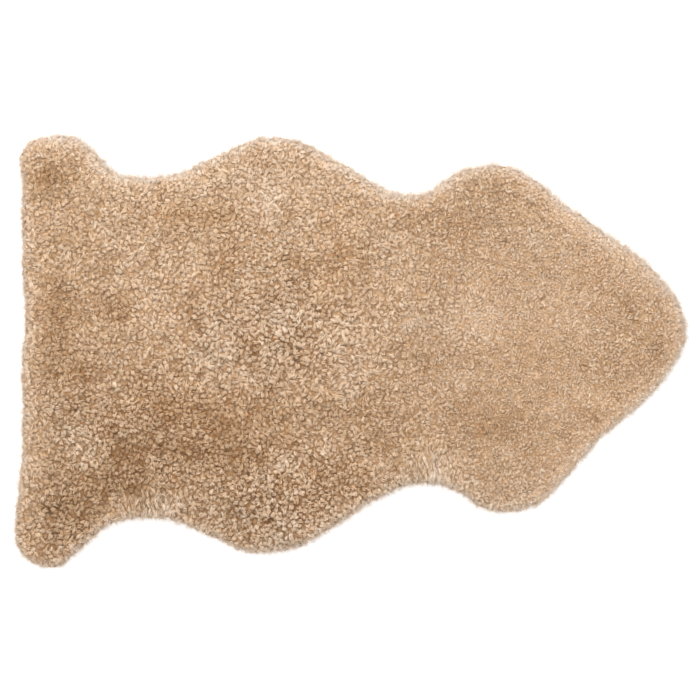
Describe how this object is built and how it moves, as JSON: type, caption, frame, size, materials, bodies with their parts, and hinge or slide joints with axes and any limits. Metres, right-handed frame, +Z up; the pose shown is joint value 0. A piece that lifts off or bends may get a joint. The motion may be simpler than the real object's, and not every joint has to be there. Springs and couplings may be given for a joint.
{
  "type": "sheepskin rug",
  "caption": "Whole tanned sheepskin rug with short, curly, sandy brown wool, in its natural uneven outline, lying flat with the wool up.",
  "frame": {"origin": "under the middle of the skin's bounding box, on the surface that it lies on", "axes": "+X from the straight tail cut to the neck tip, +Y across the skin towards the picture's top edge, +Z up out of the wool"},
  "size_m": [0.95, 0.611, 0.028],
  "materials": {
    "wool": "matte",
    "hide": "matte"
  },
  "bodies": {
    "root": {"sheepskin": "wool"}
  },
  "joints": []
}
